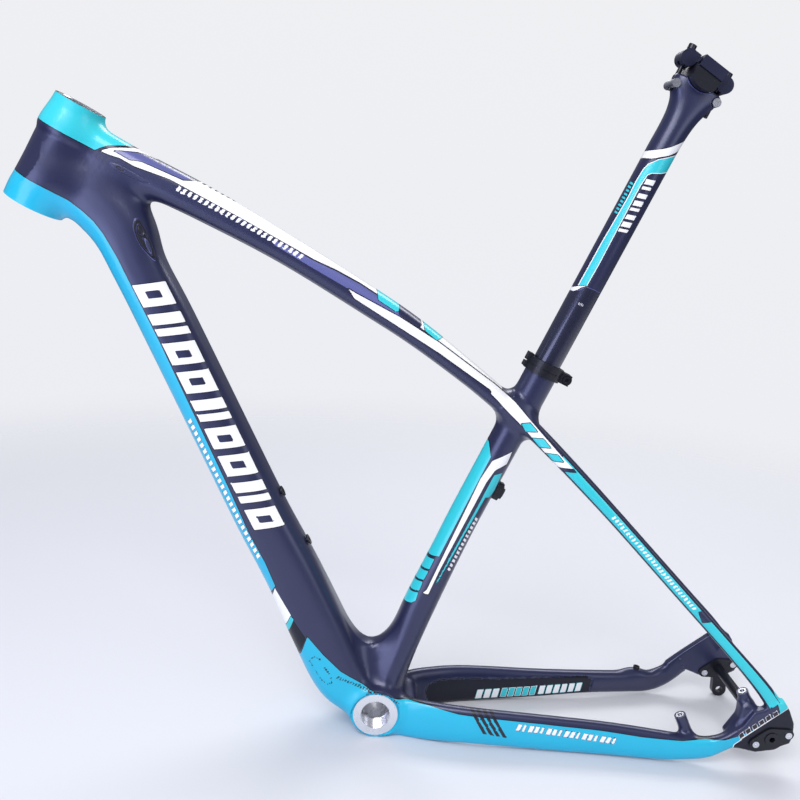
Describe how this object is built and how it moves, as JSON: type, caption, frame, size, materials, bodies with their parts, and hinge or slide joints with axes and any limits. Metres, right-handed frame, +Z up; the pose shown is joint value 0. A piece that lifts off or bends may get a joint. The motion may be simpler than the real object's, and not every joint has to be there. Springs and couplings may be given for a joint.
{
  "type": "bicycle frame with seatpost",
  "caption": "Hardtail mountain bicycle frame with its seatpost and two-bolt saddle clamp, a tapered head tube, a threaded bottom bracket and a through axle at the rear.",
  "frame": {"origin": "centre of the bottom bracket axis", "axes": "riding attitude, +Z up, +X towards the rear axle, +Y towards the chain side; the front wheel is towards -X"},
  "size_m": [0.9284, 0.1687, 0.8027],
  "materials": {
    "carbon_navy": "satin clear coat over dark blue carbon laminate",
    "carbon_cyan": "gloss clear coat over bright blue paint on carbon laminate",
    "carbon_white": "gloss white paint on carbon laminate",
    "silver_alloy": "machined, lightly brushed",
    "black_alloy": "black anodised",
    "steel": "plated",
    "black_steel": "blackened",
    "black_rubber": "matt"
  },
  "bodies": {
    "frame": {"head_tube": "carbon_navy", "headset_seat_upper": "silver_alloy", "headset_seat_lower": "silver_alloy", "top_tube": "carbon_white", "down_tube": "carbon_navy", "seat_tube": "carbon_navy", "bb_shell": "carbon_cyan", "bb_sleeve": "silver_alloy", "chainstay_left": "carbon_cyan", "chainstay_right": "carbon_navy", "seatstay_left": "carbon_cyan", "seatstay_right": "carbon_navy", "dropout_left": "black_alloy", "derailleur_hanger": "black_alloy", "dropout_screws": "steel", "brake_posts": "carbon_navy", "brake_post_inserts": "silver_alloy", "cable_stop": "black_alloy", "cable_stop_screws": "steel", "cable_port_plugs": "black_rubber", "chainstay_port_plug": "black_rubber", "bottle_rivnuts": "black_alloy", "seat_clamp": "black_alloy", "seat_clamp_bolt": "black_steel", "seat_clamp_nut": "black_steel"},
    "seatpost": {"seatpost": "carbon_navy", "saddle_clamp_nuts": "steel"},
    "saddle_clamp": {"saddle_cradle": "black_alloy", "saddle_clamp_top": "black_alloy"},
    "saddle_bolt_front": {"saddle_bolt_front": "steel"},
    "saddle_bolt_rear": {"saddle_bolt_rear": "steel"},
    "thru_axle": {"thru_axle": "black_alloy"}
  },
  "joints": [
    {"name": "seatpost_slide", "type": "slide", "parent": "frame", "child": "seatpost", "axis": [0.2924, 0, 0.9563], "range_m": [-0.25, 0]},
    {"name": "saddle_tilt", "type": "hinge", "parent": "seatpost", "child": "saddle_clamp", "pos_m": [0.21793, 0, 0.74879], "axis": [0, 1, 0], "range_deg": [-20, 3]},
    {"name": "saddle_bolt_front_slide", "type": "slide", "parent": "seatpost", "child": "saddle_bolt_front", "axis": [0.2924, 0, 0.9563], "range_m": [-0.0085, 0.0015]},
    {"name": "saddle_bolt_rear_slide", "type": "slide", "parent": "seatpost", "child": "saddle_bolt_rear", "axis": [0.2924, 0, 0.9563], "range_m": [-0.0015, 0.009]},
    {"name": "thru_axle_withdraw", "type": "slide", "parent": "frame", "child": "thru_axle", "axis": [0, -1, 0], "range_m": [0, 0.17]}
  ],
  "couplings": [
    {"joint": "saddle_bolt_front_slide", "follows": "saddle_tilt", "m_per_rad": 0.0225},
    {"joint": "saddle_bolt_rear_slide", "follows": "saddle_tilt", "m_per_rad": -0.024}
  ]
}
